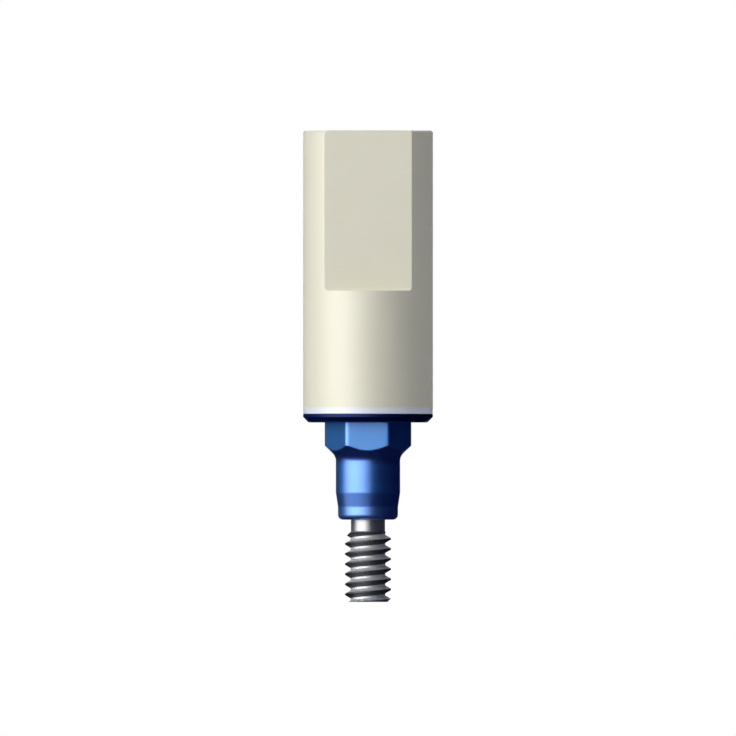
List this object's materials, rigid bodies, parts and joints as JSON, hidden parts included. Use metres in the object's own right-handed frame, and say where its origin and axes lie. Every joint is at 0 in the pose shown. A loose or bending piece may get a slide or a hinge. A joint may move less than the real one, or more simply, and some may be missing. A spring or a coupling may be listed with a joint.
{
  "type": "implant scan body",
  "caption": "Cylindrical plastic scan flag with one flat facet, on a blue hexagonal implant connection held by a threaded retention screw.",
  "frame": {"origin": "on the axis at the implant's platform, which is the underside of the base's flange", "axes": "+Z along the axis towards the scan flag, and the scan facet faces -Y"},
  "size_m": [0.0044, 0.0044, 0.0163],
  "materials": {
    "peek": "satin",
    "blue_anodised_titanium": "satin",
    "bare_titanium": "satin"
  },
  "bodies": {
    "flag_and_base": {"scan_flag": "peek", "connection_base": "blue_anodised_titanium"},
    "retention_screw": {"retention_screw": "bare_titanium"}
  },
  "joints": [
    {"name": "screw_turn", "type": "hinge", "parent": "flag_and_base", "child": "retention_screw", "pos_m": [0, 0, 0], "axis": [0, 0, 1], "continuous": true}
  ]
}
